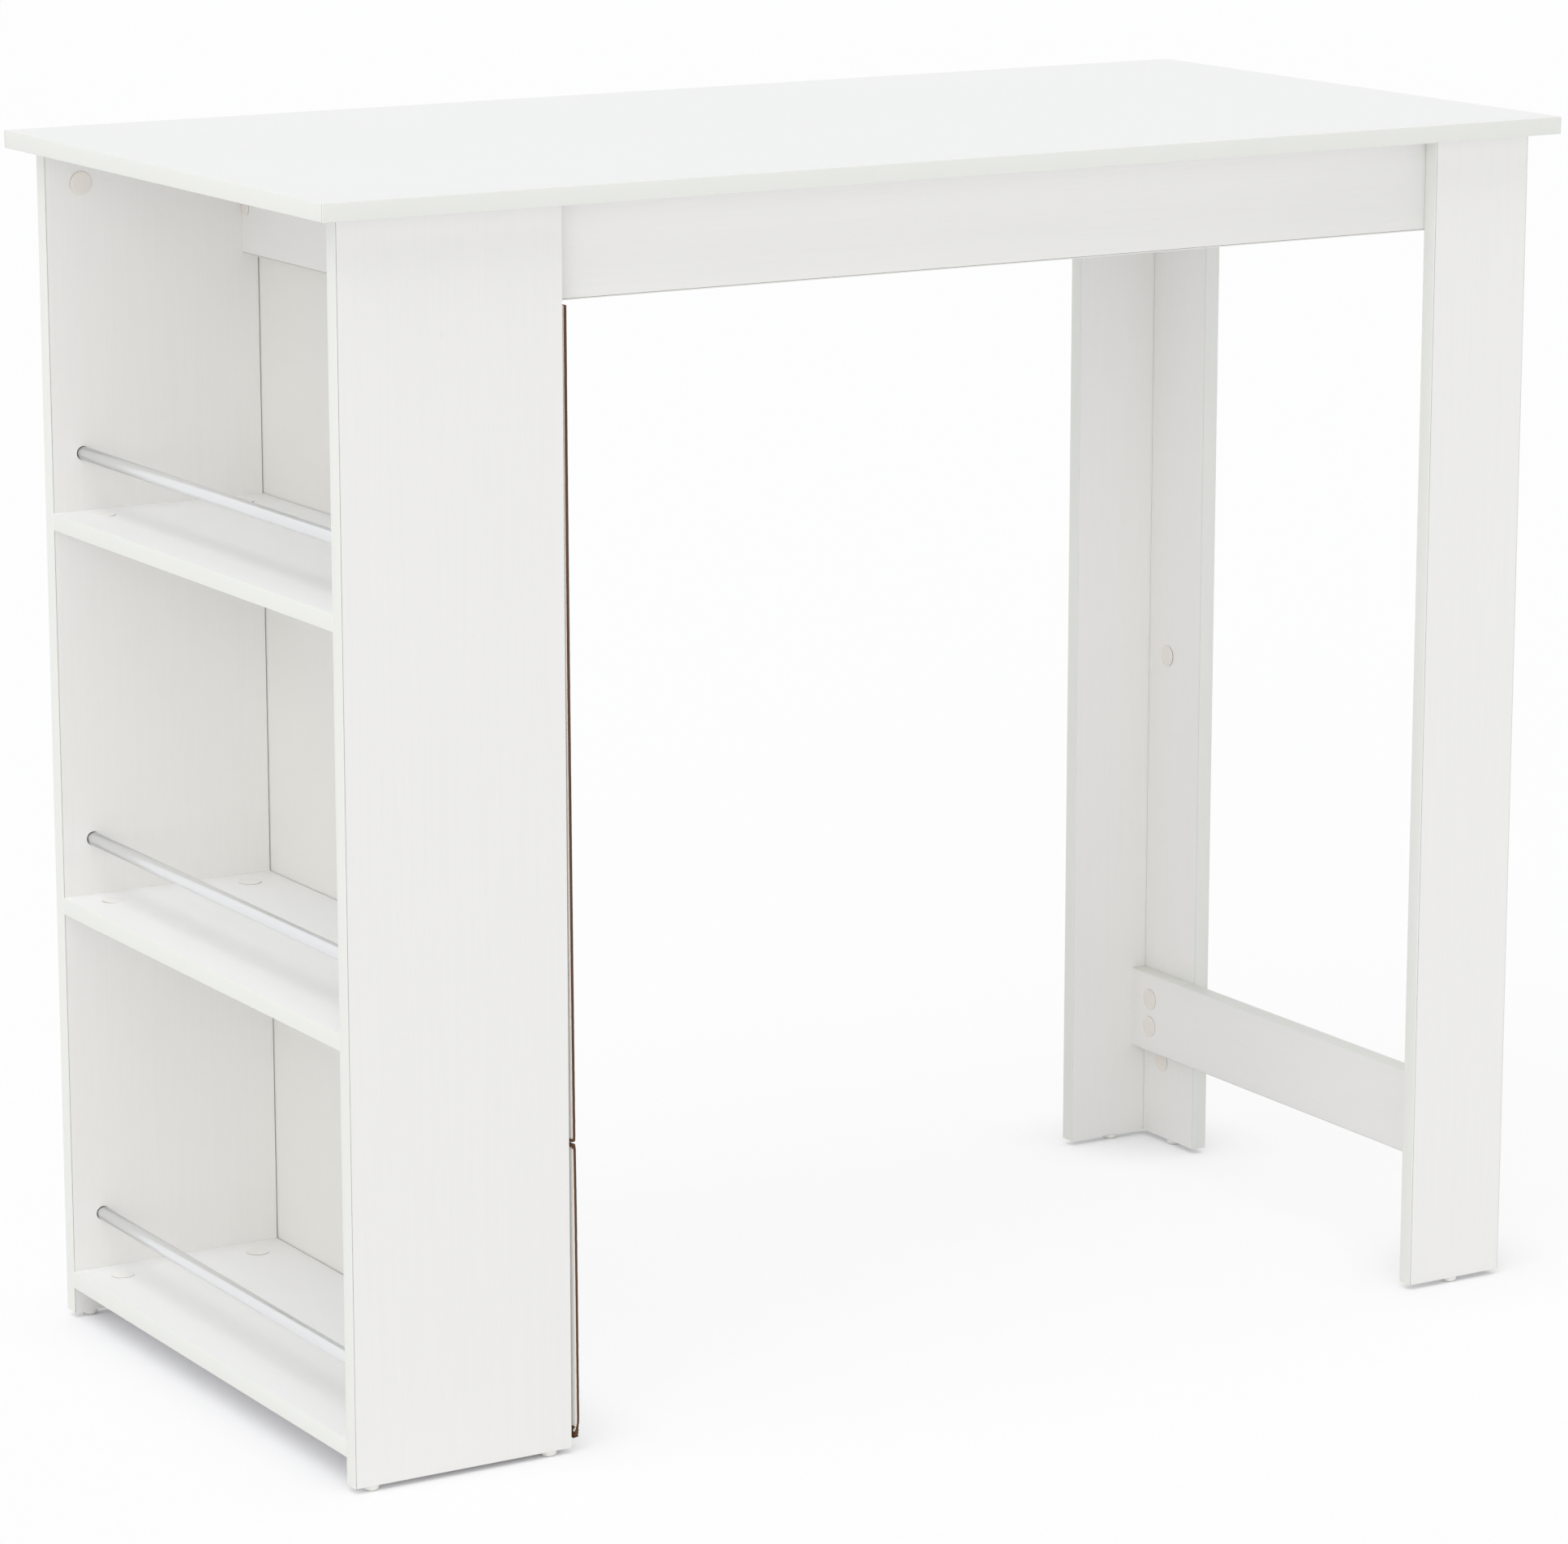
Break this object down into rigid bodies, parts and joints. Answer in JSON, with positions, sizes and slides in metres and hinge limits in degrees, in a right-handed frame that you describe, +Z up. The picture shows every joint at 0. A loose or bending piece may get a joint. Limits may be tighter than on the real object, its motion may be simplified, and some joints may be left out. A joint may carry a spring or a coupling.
{
  "type": "bar table",
  "caption": "Tall white bar table: a thin rectangular top on an open shelf unit at one end and on L-shaped board legs with a stretcher at the other.",
  "frame": {"origin": "on the floor under the middle of the top", "axes": "+Z up, +X along the length from the shelf unit to the legs, +Y across the width to the rear; the front is at -Y"},
  "size_m": [1.2, 0.6, 1.05],
  "materials": {
    "white_board": "white melamine with a faint pore grain, satin",
    "white_edging": "smooth white edging, satin",
    "back_board": "white lacquered faces, raw brown edges",
    "profile_plastic": "plain white plastic",
    "rail_metal": "light grey satin metal",
    "fitting_metal": "zinc plated",
    "cap_plastic": "warm white plastic",
    "foot_plastic": "milky white plastic",
    "dowel_wood": "plain beech"
  },
  "bodies": {
    "table": {"tabletop": "white_board", "front_side_panel": "white_board", "rear_side_panel": "white_board", "lower_shelf": "white_board", "middle_shelf": "white_board", "upper_shelf": "white_board", "cabinet_rail": "white_board", "front_apron": "white_board", "rear_apron": "white_board", "end_apron": "white_board", "front_leg_face_board": "white_board", "rear_leg_face_board": "white_board", "front_leg_side_board": "white_board", "rear_leg_side_board": "white_board", "leg_stretcher": "white_board", "lower_back_panel": "back_board", "upper_back_panel": "back_board", "tabletop_edging": "white_edging", "side_panel_edging": "white_edging", "shelf_edging": "white_edging", "cabinet_rail_edging": "white_edging", "apron_edging": "white_edging", "leg_edging": "white_edging", "stretcher_edging": "white_edging", "cam_locks": "fitting_metal", "cam_bolts": "fitting_metal", "apron_screws": "fitting_metal", "cover_caps": "cap_plastic", "screw_caps": "cap_plastic", "cabinet_feet": "foot_plastic", "leg_feet": "foot_plastic", "back_joint_profile": "profile_plastic", "dowels": "dowel_wood"},
    "lower_rail": {"lower_shelf_rail": "rail_metal"},
    "middle_rail": {"middle_shelf_rail": "rail_metal"},
    "upper_rail": {"upper_shelf_rail": "rail_metal"}
  },
  "joints": [
    {"name": "lower_rail_turn", "type": "hinge", "parent": "table", "child": "lower_rail", "pos_m": [-0.55, 0, 0.0928], "axis": [0, 1, 0], "continuous": true},
    {"name": "middle_rail_turn", "type": "hinge", "parent": "table", "child": "middle_rail", "pos_m": [-0.55, 0, 0.4328], "axis": [0, 1, 0], "continuous": true},
    {"name": "upper_rail_turn", "type": "hinge", "parent": "table", "child": "upper_rail", "pos_m": [-0.55, 0, 0.7728], "axis": [0, 1, 0], "continuous": true}
  ]
}
